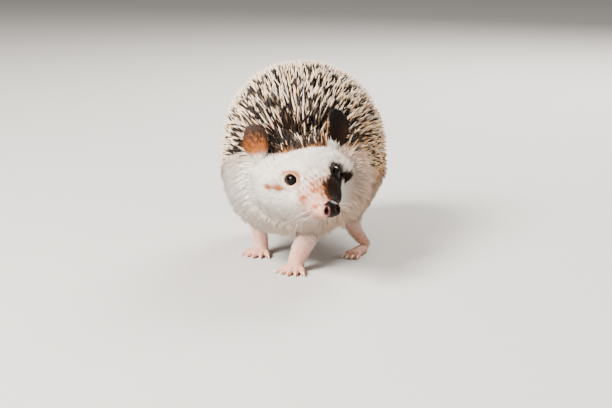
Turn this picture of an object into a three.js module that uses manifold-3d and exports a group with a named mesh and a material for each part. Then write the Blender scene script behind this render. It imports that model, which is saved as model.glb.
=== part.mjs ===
// A life-size African pygmy hedgehog, caught in a slow walk with its head turned to its left.
// Millimetres, +Z up. The animal faces -Y and its left side is +X, with the floor at z = 0. The
// trunk's middle is over x = 0, y = 0 while it is built, and at the very end the whole group is
// moved so that the origin lies under the middle of the bounding box.
// Each node is the outer form of one body part, out to the tips of its quills or fur. Nodes meet
// with a gap of GAP and never overlap.
import * as THREE from "three";
import { mergeVertices } from "three/addons/utils/BufferGeometryUtils.js";
import Module from "manifold-3d";

const wasm = await Module();
wasm.setup();

// ---------------------------------------------------------------- driving dimensions, mm
const GAP = 0.32; // clearance between neighbouring nodes
const DEG = Math.PI / 180;

// The trunk with its mantle of quills: half width, the reach from its middle, and its heights.
const TRUNK = {
  width: 42,
  front: 50,
  back: 66,
  waist: 50,
  top: 48,
  bottom: 32,
  along: 2.5,
  across: 2.1,
};
const LEAN = 0.06; // how far the back leans to the animal's right, per unit of height
const RUMP_SWAY = 3.5; // how far the rump swings to the animal's left
const RUMP_DROP = 5; // how far the rump's middle lies below the waist
const BELLY_RISE = 7; // how much the belly clears the floor more at the rump than at the chest

// The hem of the mantle of quills, as [y, z] from the forehead to above the tail. Quills grow
// above it and soft fur below.
const HEM = [
  [-90, 62],
  [-66, 60],
  [-52, 56],
  [-30, 48],
  [0, 42],
  [35, 39],
  [85, 34],
];
const HEM_STEPS = 10;

// Neck and shoulders: the nape with its quills above and the ruff of long fur below.
const NECK = {
  centre: [1.6, -40, 47],
  width: 32.7,
  front: 30,
  back: 32,
  top: 38.5,
  bottom: 32,
  along: 2.2,
  across: 2.3,
};
// The fur that bunches up beside the turned head, on the animal's left.
const BUNCH = {
  centre: [20, -47, 45.5],
  width: 25.5,
  front: 19,
  back: 19,
  top: 26.5,
  bottom: 26.5,
};

// The head, in a frame of its own: origin between the ears, nose towards -Y.
const HEAD_AT = [14.2, -64.8, 50];
const HEAD_YAW = 30; // degrees, turned to the animal's left
const HEAD_PITCH = 4.4; // nose down
const HEAD_ROLL = 7; // left ear raised
const SKULL = {
  centre: [0, 3, -2],
  width: 24,
  front: 21,
  back: 22,
  top: 19,
  bottom: 19,
  along: 2.1,
  across: 2.2,
};
const FACE = { from: [0, -5, -4], to: [0, -20, -4.5], radii: [17.4, 11] };
const SNOUT = { from: [0, -18, -4.6], to: [0, -35, -6.8], radii: [9, 4.6] };
const JAW = { from: [0, -10, -12.5], to: [0, -30.5, -10.2], radii: [7, 2.6] };
const NOSE = { at: [0, -37.2, -6.6], width: 4.2, length: 3.6, height: 4.1 };
const NOSTRIL = { at: [2.6, -40.0, -6.2], radius: 1.15 };
const EYE = { at: [9.8, -14.2, 3.2], radius: 3.1 };
const EARS = {
  left: { side: 1, at: [20.8, 8.5, 17.7], turn: 24 },
  right: { side: -1, at: [-19.2, 8.5, 17.4], turn: 38 },
}; // where each ear's middle is, and how many degrees its hollow face looks outwards
const EAR = {
  width: 6.6,
  height: 9.7,
  thickness: 1.25,
  cup: 0.055, // how much its sides come forward, per square of the distance across
  sag: 0.012, // and its tip and base, per square of the distance up
  taper: 0.018, // how much it narrows below its middle, per mm
  lean: 9, // degrees that the ear leans outwards
  back: 12, // degrees that it leans back
};

// Legs, from the joint inside the body to the wrist or heel, then the foot.
const LEGS = {
  front_left: {
    joints: [
      [17, -40, 34],
      [14.5, -43.5, 20],
      [10.6, -51.5, 12],
      [8.2, -55.2, 5],
    ],
    radii: [10, 6.8, 5.2, 4.1],
    heading: -10,
    toes: 5,
  },
  front_right: {
    joints: [
      [-18, -32, 34],
      [-20, -22, 20],
      [-18.5, -23, 12],
      [-17, -25, 5],
    ],
    radii: [10, 6.8, 4.8, 3.9],
    heading: -8,
    toes: 5,
  },
  hind_left: {
    joints: [
      [27.5, 20, 38],
      [26.5, -2, 23],
      [28.5, -9.5, 13],
      [34.5, -7.5, 4.2],
    ],
    radii: [14, 9, 4.8, 2.7],
    heading: -14,
    toes: 4,
  },
  hind_right: {
    joints: [
      [-27, 30, 38],
      [-28, 18, 23],
      [-27.5, 28, 13],
      [-27, 42, 4.2],
    ],
    radii: [14, 9, 4.8, 2.7],
    heading: 6,
    toes: 4,
  },
};
const FOREPAW = {
  palm: [4.3, 5.2, 2.9],
  palmAhead: 1.5,
  toeRadius: 1.35,
  toeLength: 4.8,
  spread: 17,
  clawLength: 3.4,
};
const HINDFOOT = {
  palm: [3.2, 9.5, 2.5],
  palmAhead: 8.5,
  toeRadius: 1.3,
  toeLength: 4.6,
  spread: 12,
  clawLength: 3.2,
};
const CLAW_RADII = [0.62, 0.3];
const SOLE_DEPTH = 0.6; // how much of a rounded sole is planed flat at the floor

const TAIL = { from: [0, 54, 38], to: [0, 69.5, 26], radii: [5.5, 1.9] };

// ---------------------------------------------------------------- materials
const finish = (color, roughness) =>
  new THREE.MeshStandardMaterial({ color, roughness, metalness: 0 });
const MATERIALS = {
  quills: finish(0x8f8276, 0.6),
  fur: finish(0xe8ddd2, 0.9),
  skin: finish(0xd9a08c, 0.6),
  ear: finish(0x7a5646, 0.75),
  leather: finish(0x17110f, 0.3),
  eye: finish(0x080606, 0.05),
  claw: finish(0xd8b9a4, 0.4),
};

// ---------------------------------------------------------------- shapes
const signedPower = (value, power) => Math.sign(value) * Math.abs(value) ** power;

// A geometry whose shared vertices are merged, with nothing but positions left.
function welded(geometry) {
  const bare = geometry.clone();
  for (const name of ["normal", "uv"]) bare.deleteAttribute(name);
  return mergeVertices(bare, 1e-4);
}

// A rounded form with its own reach each way. Exponents above 2 make it boxier than an ellipsoid:
// "along" for its profile from front to back, "across" for its cross section. warp moves points.
function blob(form, around, rings, warp = () => {}) {
  const geometry = welded(new THREE.SphereGeometry(1, around, rings));
  const position = geometry.getAttribute("position");
  const point = new THREE.Vector3();
  for (let i = 0; i < position.count; i += 1) {
    point.fromBufferAttribute(position, i);
    const girth = Math.hypot(point.x, point.z);
    const across = 2 / (form.across ?? 2);
    const along = 2 / (form.along ?? 2);
    const side = girth > 1e-9 ? signedPower(point.x / girth, across) : 0;
    const rise = girth > 1e-9 ? signedPower(point.z / girth, across) : 0;
    const reach = point.y < 0 ? form.front : form.back;
    const height = point.z < 0 ? form.bottom : form.top;
    const share = girth ** along;
    const forward = signedPower(point.y, along);
    point.set(form.width * share * side, reach * forward, height * share * rise);
    warp(point, forward);
    position.setXYZ(i, point.x, point.y, point.z);
  }
  return geometry;
}

// A limb: a round tube through joints, its radius going smoothly from each joint's to the next,
// closed by round ends.
function limb(joints, radii, sides = 14, steps = 12, capRings = 4) {
  const curve = new THREE.CatmullRomCurve3(joints.map((j) => new THREE.Vector3(...j)));
  const frames = curve.computeFrenetFrames(steps, false);
  const radiusAt = (t) => {
    const place = t * (radii.length - 1);
    const before = Math.min(Math.floor(place), radii.length - 2);
    return THREE.MathUtils.lerp(radii[before], radii[before + 1], place - before);
  };
  const rings = [];
  const addRing = (t, bulge, share) => {
    const index = Math.round(t * steps);
    const centre = curve.getPoint(index / steps);
    centre.addScaledVector(frames.tangents[index], bulge);
    rings.push({ centre, index, radius: radiusAt(t) * share });
  };
  for (let k = 1; k <= capRings; k += 1) {
    const angle = (k / (capRings + 1)) * 90 * DEG;
    addRing(0, -radii[0] * Math.cos(angle), Math.sin(angle));
  }
  for (let k = 0; k <= steps; k += 1) addRing(k / steps, 0, 1);
  for (let k = capRings; k >= 1; k -= 1) {
    const angle = (k / (capRings + 1)) * 90 * DEG;
    addRing(1, radii.at(-1) * Math.cos(angle), Math.sin(angle));
  }
  const points = [];
  for (const { centre, index, radius } of rings)
    for (let s = 0; s < sides; s += 1) {
      const angle = (s / sides) * 360 * DEG;
      const spoke = frames.normals[index]
        .clone()
        .multiplyScalar(Math.cos(angle))
        .addScaledVector(frames.binormals[index], Math.sin(angle));
      points.push(centre.clone().addScaledVector(spoke, radius));
    }
  const first = curve.getPoint(0).addScaledVector(frames.tangents[0], -radii[0]);
  const last = curve.getPoint(1).addScaledVector(frames.tangents[steps], radii.at(-1));
  points.push(first, last);
  const faces = [];
  for (let r = 0; r < rings.length - 1; r += 1)
    for (let s = 0; s < sides; s += 1) {
      const a = r * sides + s;
      const b = r * sides + ((s + 1) % sides);
      faces.push(a, b, a + sides, b, b + sides, a + sides);
    }
  for (let s = 0; s < sides; s += 1) {
    const next = (s + 1) % sides;
    const end = (rings.length - 1) * sides;
    faces.push(points.length - 2, next, s, points.length - 1, end + s, end + next);
  }
  const geometry = new THREE.BufferGeometry().setFromPoints(points);
  return geometry.setIndex(faces);
}

const cone = (form, sides, steps) => limb([form.from, form.to], form.radii, sides, steps, 2);

// ---------------------------------------------------------------- solids
function toSolid(geometry) {
  const clean = welded(geometry);
  return new wasm.Manifold(
    new wasm.Mesh({
      numProp: 3,
      vertProperties: new Float32Array(clean.getAttribute("position").array),
      triVerts: new Uint32Array(clean.index.array),
    }),
  );
}

function toGeometry(solid) {
  const mesh = solid.getMesh();
  const geometry = new THREE.BufferGeometry();
  geometry.setAttribute("position", new THREE.BufferAttribute(mesh.vertProperties, 3));
  geometry.setIndex(new THREE.BufferAttribute(mesh.triVerts, 1));
  return geometry;
}

const union = (solids) => solids.reduce((all, next) => all.add(next));

// The same form, swollen by a distance along its normals.
function swollen(geometry, distance) {
  const grown = welded(geometry);
  grown.computeVertexNormals();
  const position = grown.getAttribute("position");
  const normal = grown.getAttribute("normal");
  for (let i = 0; i < position.count; i += 1)
    position.setXYZ(
      i,
      position.getX(i) + normal.getX(i) * distance,
      position.getY(i) + normal.getY(i) * distance,
      position.getZ(i) + normal.getZ(i) * distance,
    );
  return grown;
}

// The largest of the separate bodies that a cut leaves.
const largest = (solid) =>
  solid.decompose().reduce((best, body) => (body.volume() > best.volume() ? body : best));

// ---------------------------------------------------------------- sub-parts
const hedgehog = new THREE.Group();
const head = new THREE.Group();
head.position.set(...HEAD_AT);
head.rotation.set(HEAD_PITCH * DEG, -HEAD_ROLL * DEG, HEAD_YAW * DEG, "ZXY");
hedgehog.add(head);

const nodes = []; // in the order in which they keep their shape: later ones are cut by earlier

// A named node. Its forms are the smooth closed shapes that later nodes are cut back from.
function place(parent, name, geometry, material, at = [0, 0, 0], turn = [0, 0, 0], forms) {
  const mesh = new THREE.Mesh(geometry, material);
  mesh.name = name;
  mesh.position.set(...at);
  mesh.rotation.set(turn[0] * DEG, turn[1] * DEG, turn[2] * DEG, "ZYX");
  parent.add(mesh);
  nodes.push({ mesh, forms: forms ?? [geometry] });
}

const STILL = [[0, 0, 0], [0, 0, 0]]; // no shift and no turn

// A node joined from several forms.
function placeJoined(parent, name, forms, material) {
  place(parent, name, toGeometry(union(forms.map(toSolid))), material, ...STILL, forms);
}

const mirrored = ([x, y, z], side) => [x * side, y, z];

// The nose leather, with a nostril at each side and a groove between them.
function addNose() {
  const { width, length, height } = NOSE;
  const leather = toSolid(
    blob({ width, front: length, back: length, top: height, bottom: height }, 12, 8),
  );
  const nostril = (side) =>
    toSolid(new THREE.SphereGeometry(NOSTRIL.radius, 6, 4)).translate(
      side * NOSTRIL.at[0],
      NOSTRIL.at[1] - NOSE.at[1],
      NOSTRIL.at[2] - NOSE.at[2],
    );
  const pitted = leather.subtract(nostril(1)).subtract(nostril(-1));
  place(head, "nose", toGeometry(pitted), MATERIALS.leather, NOSE.at);
}

function addEyes() {
  for (const [name, side] of [
    ["eye_left", 1],
    ["eye_right", -1],
  ]) {
    const ball = new THREE.SphereGeometry(EYE.radius, 10, 7);
    place(head, name, ball, MATERIALS.eye, mirrored(EYE.at, side));
  }
}

// An ear: a thin round leaf, hollow at the front, with its base sunk in the head.
function addEars() {
  for (const [name, ear] of Object.entries(EARS)) {
    const reach = { front: EAR.thickness, back: EAR.thickness };
    const height = { top: EAR.height, bottom: EAR.height };
    const leaf = blob({ width: EAR.width, ...reach, ...height }, 12, 7, (point) => {
      point.y -= EAR.cup * point.x ** 2 + EAR.sag * point.z ** 2;
      point.x *= 1 - EAR.taper * Math.max(0, -point.z);
    });
    const turn = [-EAR.back, ear.side * EAR.lean, ear.side * ear.turn];
    place(head, `ear_${name}`, leaf, MATERIALS.ear, ear.at, turn);
  }
}

function addFace() {
  place(head, "jaw", cone(JAW, 8, 3), MATERIALS.fur);
  place(head, "snout", cone(SNOUT, 10, 3), MATERIALS.fur);
  const skull = blob(SKULL, 16, 10);
  skull.translate(...SKULL.centre);
  placeJoined(head, "head", [skull, cone(FACE, 12, 2)], MATERIALS.fur);
}

// One foot: palm and toes in one piece, planed flat underneath, and its claws. The foot's own
// frame has its origin on the floor below the wrist or heel, with the toes towards -Y.
function addFoot(name, leg, foot) {
  const wrist = leg.joints.at(-1);
  const group = new THREE.Group();
  group.position.set(wrist[0], wrist[1], 0);
  group.rotation.z = leg.heading * DEG;
  hedgehog.add(group);
  const [wide, long, high] = foot.palm;
  const palm = blob({ width: wide, front: long, back: long, top: high, bottom: high }, 9, 6);
  palm.translate(0, -foot.palmAhead, high - SOLE_DEPTH);
  const toes = [];
  const claws = [];
  const ahead = foot.palmAhead + long * 0.62;
  const { toeRadius, toeLength, clawLength } = foot;
  for (let k = 0; k < leg.toes; k += 1) {
    const off = k - (leg.toes - 1) / 2;
    const angle = off * foot.spread * DEG;
    const root = [off * wide * 0.42, -ahead + Math.abs(off) * 0.9];
    const along = (distance, height) => [
      root[0] + Math.sin(angle) * distance,
      root[1] - Math.cos(angle) * distance,
      height,
    ];
    const bones = [
      along(0, toeRadius + 0.4),
      along(toeLength * 0.5, toeRadius + 0.7),
      along(toeLength, toeRadius - SOLE_DEPTH * 0.5),
    ];
    toes.push(limb(bones, [toeRadius, toeRadius * 1.05, toeRadius * 0.9], 6, 2, 1));
    const nail = [
      along(toeLength + 0.3, toeRadius + 0.1),
      along(toeLength + clawLength * 0.55, toeRadius + 0.15),
      along(toeLength + clawLength, 0.75),
    ];
    claws.push(limb(nail, [CLAW_RADII[0], CLAW_RADII[0] * 0.85, CLAW_RADII[1]], 5, 2, 1));
  }
  const floor = toSolid(new THREE.BoxGeometry(80, 80, 20)).translate(0, 0, -10);
  const planed = union([palm, ...toes].map(toSolid)).subtract(floor);
  const flesh = toGeometry(planed);
  place(group, `foot_${name}`, flesh, MATERIALS.skin, ...STILL, [palm, ...toes]);
  claws.forEach((claw, k) => place(group, `claw_${name}_${k + 1}`, claw, MATERIALS.claw));
}

function addLegs() {
  for (const [name, leg] of Object.entries(LEGS)) {
    addFoot(name, leg, name.startsWith("front") ? FOREPAW : HINDFOOT);
    place(hedgehog, `leg_${name}`, limb(leg.joints, leg.radii, 9, 6, 1), MATERIALS.fur);
  }
}

// The half-space below the hem, as a slab wider than the animal.
function belowHem(rise) {
  const wide = 200;
  const line = new THREE.SplineCurve(HEM.map(([y, z]) => new THREE.Vector2(y, z + rise)));
  const profile = new THREE.Shape(line.getPoints(HEM_STEPS));
  profile.lineTo(HEM.at(-1)[0], -wide);
  profile.lineTo(HEM[0][0], -wide);
  const slab = new THREE.ExtrudeGeometry(profile, { depth: wide, bevelEnabled: false, steps: 1 });
  // The profile is drawn in the plane of y and z, and the slab runs across, along x.
  const across = new THREE.Vector3(1, 0, 0);
  const basis = new THREE.Matrix4();
  basis.makeBasis(new THREE.Vector3(0, 1, 0), new THREE.Vector3(0, 0, 1), across);
  return toSolid(slab.applyMatrix4(basis).translate(-wide / 2, 0, 0));
}

// A body part's forms, parted at the hem into its quilled upper node and its furred lower node.
function addParted(upperName, lowerName, forms) {
  const solid = union(forms.map(toSolid));
  const upper = toGeometry(solid.subtract(belowHem(GAP / 2)));
  const lower = toGeometry(solid.intersect(belowHem(-GAP / 2)));
  place(hedgehog, upperName, upper, MATERIALS.quills, ...STILL, []);
  place(hedgehog, lowerName, lower, MATERIALS.fur, ...STILL, forms);
}

function addBody() {
  place(hedgehog, "tail", cone(TAIL, 8, 3), MATERIALS.skin);
  const neck = blob(NECK, 16, 10);
  neck.translate(...NECK.centre);
  const bunch = blob(BUNCH, 12, 8);
  bunch.translate(...BUNCH.centre);
  addParted("nape", "ruff", [neck, bunch]);
  const trunk = blob(TRUNK, 22, 14, (point, forward) => {
    const rear = Math.max(0, forward);
    const sunk = Math.max(0, -point.z / TRUNK.bottom);
    point.x += RUMP_SWAY * rear ** 2 - LEAN * Math.max(0, point.z);
    point.z += TRUNK.waist - RUMP_DROP * rear ** 2 + BELLY_RISE * rear * sunk;
  });
  addParted("back", "belly", [trunk]);
}

addNose();
addEyes();
addEars();
addFace();
addLegs();
addBody();

// ---------------------------------------------------------------- parting
// Every node is cut by the swollen forms of each one before it, so that the two meet at a gap.
hedgehog.updateMatrixWorld(true);
const cutters = [];
for (const { mesh, forms } of nodes) {
  const inWorld = (geometry) => toSolid(geometry.clone().applyMatrix4(mesh.matrixWorld));
  let solid = inWorld(mesh.geometry);
  for (const cutter of cutters)
    if (solid.intersect(cutter).volume() > 0) solid = solid.subtract(cutter);
  for (const form of forms) cutters.push(inWorld(swollen(form, GAP)));
  const toLocal = mesh.matrixWorld.clone().invert();
  mesh.geometry = toGeometry(largest(solid)).applyMatrix4(toLocal);
}

// The origin goes under the middle of the bounding box.
const box = new THREE.Box3().setFromObject(hedgehog, true);
const middle = box.getCenter(new THREE.Vector3());
hedgehog.position.set(-middle.x, -middle.y, -box.min.z);

export default hedgehog;
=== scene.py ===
"""The looks of a life-size African pygmy hedgehog: one skin, its coat of quills and fur, its eyes
and its claws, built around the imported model. Shapes are worked out in millimetres, in the frame
that the solids are built in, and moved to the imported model's place in metres at the end."""

import math

import bpy
import numpy as np
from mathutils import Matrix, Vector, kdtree


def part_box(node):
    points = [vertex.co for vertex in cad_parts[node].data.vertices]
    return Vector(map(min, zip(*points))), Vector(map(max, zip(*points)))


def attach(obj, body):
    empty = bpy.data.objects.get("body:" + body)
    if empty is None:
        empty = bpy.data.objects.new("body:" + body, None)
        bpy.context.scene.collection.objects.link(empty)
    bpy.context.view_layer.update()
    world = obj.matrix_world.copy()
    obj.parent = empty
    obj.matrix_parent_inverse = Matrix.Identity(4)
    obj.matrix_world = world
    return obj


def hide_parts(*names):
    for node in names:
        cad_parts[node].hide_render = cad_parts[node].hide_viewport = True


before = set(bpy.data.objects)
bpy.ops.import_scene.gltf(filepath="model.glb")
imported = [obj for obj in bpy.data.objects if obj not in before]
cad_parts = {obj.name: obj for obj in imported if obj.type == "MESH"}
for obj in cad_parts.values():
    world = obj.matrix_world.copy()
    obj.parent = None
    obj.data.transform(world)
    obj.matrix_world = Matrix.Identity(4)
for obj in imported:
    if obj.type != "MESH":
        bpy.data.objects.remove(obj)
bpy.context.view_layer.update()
MM = 0.001
rng = np.random.default_rng(20)
SIDES = (-1, 1)  # the animal's right and left

# ---- the animal's main sizes, mm
TRUNK = dict(width=42.0, front=50, back=66, top=48, bottom=32, along=2.5, across=2.1)
WAIST, LEAN, SWAY, RUMP_DROP, BELLY_RISE = 50, 0.06, 3.5, 5, 7
HEM = [(-90, 62), (-66, 60), (-52, 56), (-30, 48), (0, 42), (35, 39), (85, 34)]
NECK_AT = (1.6, -40, 47)
NECK = dict(width=32.7, front=30, back=32, top=38.5, bottom=32, along=2.2, across=2.3)
CHEEK_RUFF = ((20, -47, 45.5), (25.5, 19, 26.5))
HEAD_AT = np.array([14.2, -64.8, 50])
YAW, PITCH, ROLL = 30, 4.4, 7  # degrees
SKULL_AT = (0, 3, -2)
SKULL = dict(width=24, front=21, back=22, top=19, bottom=19, along=2.1, across=2.2)
FACE = ((0, -5, -4), (0, -20, -4.5), 17.4, 11)
SNOUT = ((0, -18, -4.6), (0, -35, -6.8), 9, 4.6)
JAW = ((0, -10, -12.5), (0, -30.5, -10.2), 7, 2.6)
NOSE_AT = np.array([0, -37.2, -6.6])
NOSE_SIZE = (4.2, 3.6, 4.1)
EYE_AT = np.array([9.8, -14.2, 3.2])
EYE_R = 3.1
EARS = {"ear_left": 1, "ear_right": -1}
EAR_AT = {1: np.array([20.8, 8.5, 17.7]), -1: np.array([-19.2, 8.5, 17.4])}
EAR_TURN = {1: 24, -1: 38}
EAR = dict(width=6.6, height=9.7, cup=0.055, sag=0.012, taper=0.018, lean=9, back=12)
LEGS = {
    "front_left": dict(
        joints=[(17, -40, 34), (14.5, -43.5, 20), (10.6, -51.5, 12), (8.2, -55.2, 5)],
        radii=[10, 6.8, 5.2, 4.1], heading=-10, toes=5),
    "front_right": dict(
        joints=[(-18, -32, 34), (-20, -22, 20), (-18.5, -23, 12), (-17, -25, 5)],
        radii=[10, 6.8, 4.8, 3.9], heading=-8, toes=5),
    "hind_left": dict(
        joints=[(27.5, 20, 38), (26.5, -2, 23), (28.5, -9.5, 13), (34.5, -7.5, 4.2)],
        radii=[14, 9, 4.8, 2.7], heading=-14, toes=4),
    "hind_right": dict(
        joints=[(-27, 30, 38), (-28, 18, 23), (-27.5, 28, 13), (-27, 42, 4.2)],
        radii=[14, 9, 4.8, 2.7], heading=6, toes=4),
}
PAW = dict(palm=(4.3, 5.2, 2.9), ahead=1.5, toe_r=1.35, toe=4.8, spread=17, claw=3.4)
HIND = dict(palm=(3.2, 9.5, 2.5), ahead=8.5, toe_r=1.3, toe=4.6, spread=12, claw=3.2)
SOLE = 0.6
TAIL = ((0, 54, 38), (0, 69.5, 26), 5.5, 1.9)
FLOOR_CLEAR = 0.03

# How deep the coat lies over the skin, mm, and half the thickness of an ear with fur and without.
QUILL_DEPTH, FUR_DEPTH, RUFF_DEPTH, CROWN_DEPTH, CHEEK_DEPTH, BROW_DEPTH = 10.0, 6.0, 9, 5.0, 3.2, 1.3
NOSE_DEPTH, EAR_DEPTH, TAIL_DEPTH, FOOT_DEPTH = 0.3, 0.2, 0.4, 0.08
EAR_THICK, EAR_THIN = 1.25, 1.0
LIMB_STEPS = 9
LIMB_DEPTH = {kind: np.interp(np.arange(LIMB_STEPS), [0, 3, 5, 8], row)
              for kind, row in (("front", [3.5, 2.0, 1.0, 0.5]), ("hind", [4.5, 4.0, 1.4, 0.4]))}


# ---- distances to simple forms
def smooth(x, low, high):
    t = np.clip((x - low) / (high - low), 0, 1)
    return t * t * (3 - 2 * t)


def hump(x, at, width):
    return np.exp(-(((x - at) / width) ** 2))


def unit(v):
    return v / np.maximum(np.linalg.norm(v, axis=-1, keepdims=True), 1e-9)


def blend(a, b, k):
    """The smooth union of two distances, rounded over a width of k."""
    h = np.maximum(k - np.abs(a - b), 0) / k
    return np.minimum(a, b) - h * h * k * 0.25


def carve(a, b, k):
    """a with b taken out of it, its edge rounded over k."""
    h = np.maximum(k - np.abs(-b - a), 0) / k
    return np.maximum(a, -b) + h * h * k * 0.25


def rounded(p, width, front, back, top, bottom, along=2.0, across=2.0):
    """Distance to a superellipsoid about the origin, to first order."""
    m, n = across, along
    x, y, z = p.T
    reach, high = np.where(y < 0, front, back), np.where(z < 0, bottom, top)
    u, v, w = (np.maximum(np.abs(q), 1e-4) for q in (x / width, z / high, y / reach))
    cross = (u**m + v**m) ** (1 / m)
    gauge = (w**n + cross**n) ** (1 / n)
    slope_y = w ** (n - 1) / reach
    slope_c = cross ** (n - m)
    slope = np.sqrt(slope_y**2 + slope_c**2 * ((u ** (m - 1) / width) ** 2 + (v ** (m - 1) / high) ** 2))
    return (gauge - 1) / (slope * gauge ** (1 - n) + 1e-6)


def ellipsoid(p, at, size):
    w, l, h = size
    return rounded(p - np.asarray(at, float), w, l, l, h, h)


def cone(p, a, b, ra, rb):
    """Distance to a tapered rod with round ends."""
    a, b = np.asarray(a, float), np.asarray(b, float)
    ab = b - a
    t = np.clip((p - a) @ ab / (ab @ ab), 0, 1)
    return np.linalg.norm(p - a - t[:, None] * ab, axis=1) - (ra + (rb - ra) * t)


def chain(p, places):
    """Distances to the rods that join a row of (place, radius), one after the other."""
    return [cone(p, a, b, ra, rb) for (a, ra), (b, rb) in zip(places, places[1:])]


def mirror(at, side):
    return np.array(at) * (side, 1, 1)


def turn(axis, degrees):
    """The matrix of a turn about one of the axes X, Y and Z."""
    a = math.radians(degrees)
    i, j = (axis + 1) % 3, (axis + 2) % 3
    matrix = np.eye(3)
    matrix[[i, i, j, j], [i, j, i, j]] = math.cos(a), -math.sin(a), math.sin(a), math.cos(a)
    return matrix


X, Y, Z = range(3)
HEAD_TURN = turn(Z, YAW) @ turn(X, PITCH) @ turn(Y, -ROLL)


def to_head(p):
    return (p - HEAD_AT) @ HEAD_TURN


def from_head(p):
    return np.asarray(p, float) @ HEAD_TURN.T + HEAD_AT


def ear_frame(side):
    """The turn of one ear in the head's frame."""
    return turn(Z, side * EAR_TURN[side]) @ turn(Y, side * EAR["lean"]) @ turn(X, -EAR["back"])


def to_ear(h, side):
    return (h - EAR_AT[side]) @ ear_frame(side)


def to_foot(p, leg):
    return (p - leg["wrist"] * (1, 1, 0)) @ leg["turn"]


def spline(points, count):
    """Points along the centripetal Catmull-Rom curve that the limbs follow."""
    pts = np.array(points, float)
    ends = np.vstack([2 * pts[0] - pts[1], pts, 2 * pts[-1] - pts[-2]])
    out = []
    for s in np.linspace(0, len(pts) - 1, count):
        i = min(int(s), len(pts) - 2)
        p = ends[i : i + 4]
        gap = [max(np.linalg.norm(p[j + 1] - p[j]) ** 0.5, 1e-6) for j in range(3)]
        m1 = (p[1] - p[0]) / gap[0] - (p[2] - p[0]) / (gap[0] + gap[1]) + (p[2] - p[1]) / gap[1]
        m2 = (p[2] - p[1]) / gap[1] - (p[3] - p[1]) / (gap[1] + gap[2]) + (p[3] - p[2]) / gap[2]
        m1, m2, t = m1 * gap[1], m2 * gap[1], s - i
        out.append((2 * t**3 - 3 * t**2 + 1) * p[1] + (t**3 - 2 * t**2 + t) * m1
                   + (3 * t**2 - 2 * t**3) * p[2] + (t**3 - t**2) * m2)
    return np.array(out)


for leg_name, leg in LEGS.items():
    leg["foot"] = PAW if leg_name.startswith("front") else HIND
    leg["path"] = spline(leg["joints"], LIMB_STEPS)
    leg["girth"] = np.interp(np.linspace(0, 3, LIMB_STEPS), range(4), leg["radii"])
    leg["wrist"] = np.array(leg["joints"][-1], float)
    leg["turn"] = turn(Z, leg["heading"])


def foot_bones(leg):
    """The bones of each toe and of its claw, in the foot's own frame."""
    foot = leg["foot"]
    wide, long, _ = foot["palm"]
    ahead = foot["ahead"] + long * 0.62
    for k in range(leg["toes"]):
        off = k - (leg["toes"] - 1) / 2
        angle = math.radians(off * foot["spread"])
        root = (off * wide * 0.42, -ahead + abs(off) * 0.9)

        def along(d, h, root=root, angle=angle):
            return np.array([root[0] + math.sin(angle) * d, root[1] - math.cos(angle) * d, h])

        r, toe, claw = foot["toe_r"], foot["toe"], foot["claw"]
        bones = [along(0, r + 0.4), along(toe * 0.5, r + 0.7), along(toe, r - SOLE * 0.5)]
        nail = [along(toe + 0.1, r + 0.1), along(toe + claw * 0.55, r + 0.2), along(toe + claw, 0.75)]
        yield bones, nail


def above_hem(p):
    """Height above the line below which fur takes over from the quills."""
    x, y, z = p.T
    return z - (np.interp(y, *np.transpose(HEM)) + 0.07 * x * smooth(-y, 10, 50))


# ---- the body's forms
FAR = 99.0


def trunk_form(p):
    x, y, z = p.T
    rear = np.clip(y / TRUNK["back"], 0, 1)
    z = z - WAIST + RUMP_DROP * rear**2
    z = np.where(z < 0, z / (1 - BELLY_RISE * rear / TRUNK["bottom"]), z)
    x = x - SWAY * rear**2 + LEAN * np.maximum(z, 0)
    return rounded(np.stack([x, y, z], 1), **TRUNK)


def body_depth(p):
    return FUR_DEPTH + (QUILL_DEPTH - FUR_DEPTH) * smooth(above_hem(p), -6, 8)


def neck_form(p, coat):
    """The neck, and the fur that bunches up beside the turned head."""
    neck = rounded(p - np.array(NECK_AT, float), **NECK)
    bunch = ellipsoid(p, *CHEEK_RUFF)
    if coat:
        return blend(neck, bunch, 6)
    return blend(neck + body_depth(p), bunch + RUFF_DEPTH, 6)


def leg_form(p, leg, depth):
    d = np.full(len(p), FAR)
    for rod in chain(p, list(zip(leg["path"], np.maximum(leg["girth"] - depth, 1.2)))):
        d = blend(d, rod, 0.6)
    return d


def foot_form(p, leg, depth):
    q = to_foot(p, leg)
    foot = leg["foot"]
    wide, long, high = foot["palm"]
    d = ellipsoid(q, (0, -foot["ahead"], high - SOLE), (wide, long, high)) + depth
    radii = [foot["toe_r"] * share for share in (1, 1.05, 0.9)]
    for bones, _ in foot_bones(leg):
        toe = blend(*chain(q, list(zip(bones, radii))), 0.4)
        d = blend(d, toe + depth, 1.1)
    return d


def ear_form(h, side, coat):
    thin = EAR_THICK if coat else EAR_THIN
    q = to_ear(h, side)
    q[:, 0] /= 1 - EAR["taper"] * np.clip(-q[:, 2], 0, 12)
    q[:, 1] += EAR["cup"] * q[:, 0] ** 2 + EAR["sag"] * q[:, 2] ** 2
    leaf = rounded(q, EAR["width"], thin, thin, EAR["height"], EAR["height"], 2.6, 2.0)
    if not coat:
        hollow = ellipsoid(q, (0, -thin - 0.45, -0.6), (EAR["width"] - 1.3, 1.1, EAR["height"] - 1.6))
        fold = cone(q, (side * 1.4, -0.5, -5.5), (side * 2.3, -0.3, 3.5), 0.55, 0.35)
        leaf = blend(carve(leaf, hollow, 0.5), fold, 0.6)
    stem = cone(h, EAR_AT[side] + (0, 0.3, -6.8), (side * 14.5, 6.5, 4.5), 2.0, 4.5)
    return blend(leaf, stem, 2.5)


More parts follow.
